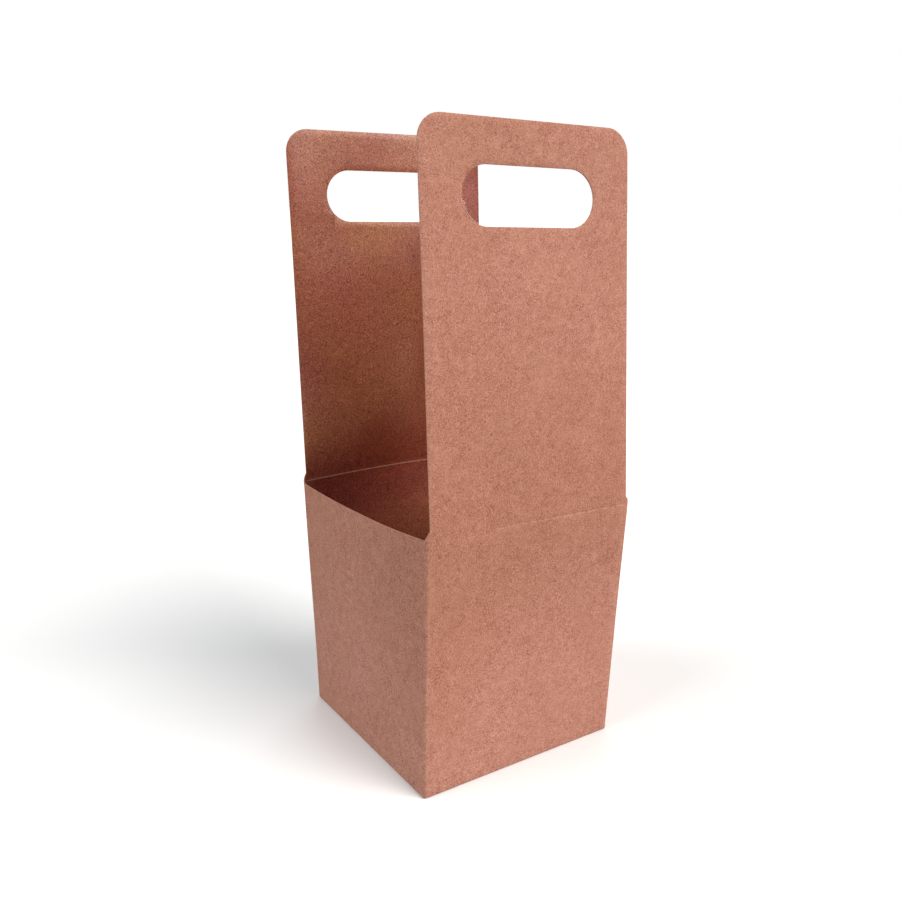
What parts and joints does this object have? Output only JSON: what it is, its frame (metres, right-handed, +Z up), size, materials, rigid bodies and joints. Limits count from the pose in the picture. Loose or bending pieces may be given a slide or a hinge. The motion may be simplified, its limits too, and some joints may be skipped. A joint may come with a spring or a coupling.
{
  "type": "cup carrier",
  "caption": "Folded kraft board cup carrier: an open square box with tall handle panels, each with a finger slot, rising from its front and back walls.",
  "frame": {"origin": "centre of the base, on the table", "axes": "+Z up through the open box, -Y towards the front wall, +X to the right as seen from the front"},
  "size_m": [0.095, 0.1045, 0.2397],
  "materials": {
    "kraft_board": "uncoated brown kraft board, matt outside with fine fibres, slightly smoother inside"
  },
  "bodies": {
    "root": {"carrier": "kraft_board"}
  },
  "joints": []
}
